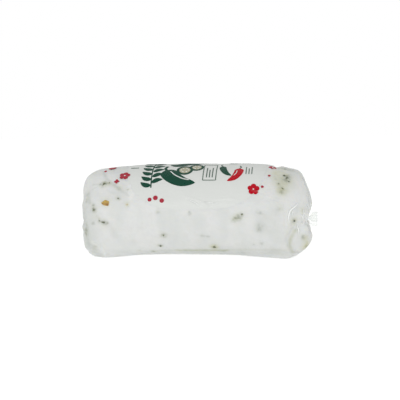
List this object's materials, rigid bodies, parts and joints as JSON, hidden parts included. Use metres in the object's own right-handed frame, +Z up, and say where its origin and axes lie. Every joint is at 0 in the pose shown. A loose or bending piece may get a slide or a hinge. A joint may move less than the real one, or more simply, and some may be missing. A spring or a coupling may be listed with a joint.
{
  "type": "wrapped jalapeno goat cheese log",
  "caption": "Short round log of fresh goat cheese with green pepper pieces, shrunk in clear film that is pinched and sealed at both ends.",
  "frame": {"origin": "middle of the footprint, on the surface that the log lies on", "axes": "+X along the log to its right end as the front is seen, +Y to its back, +Z up through the printed top"},
  "size_m": [0.0996, 0.0405, 0.0405],
  "materials": {
    "fresh_cheese": "soft white fresh cheese, moist and faintly grainy, tinted green round the pepper pieces",
    "pepper_skin": "dark olive green pepper skin and flesh, a few pieces orange",
    "clear_film": "thin clear glossy shrink film with gathers and fine wrinkles",
    "printed_ink": "white, dark green and red ink printed on the inside of the film"
  },
  "bodies": {
    "root": {"wrapped_log": "fresh_cheese"}
  },
  "joints": []
}
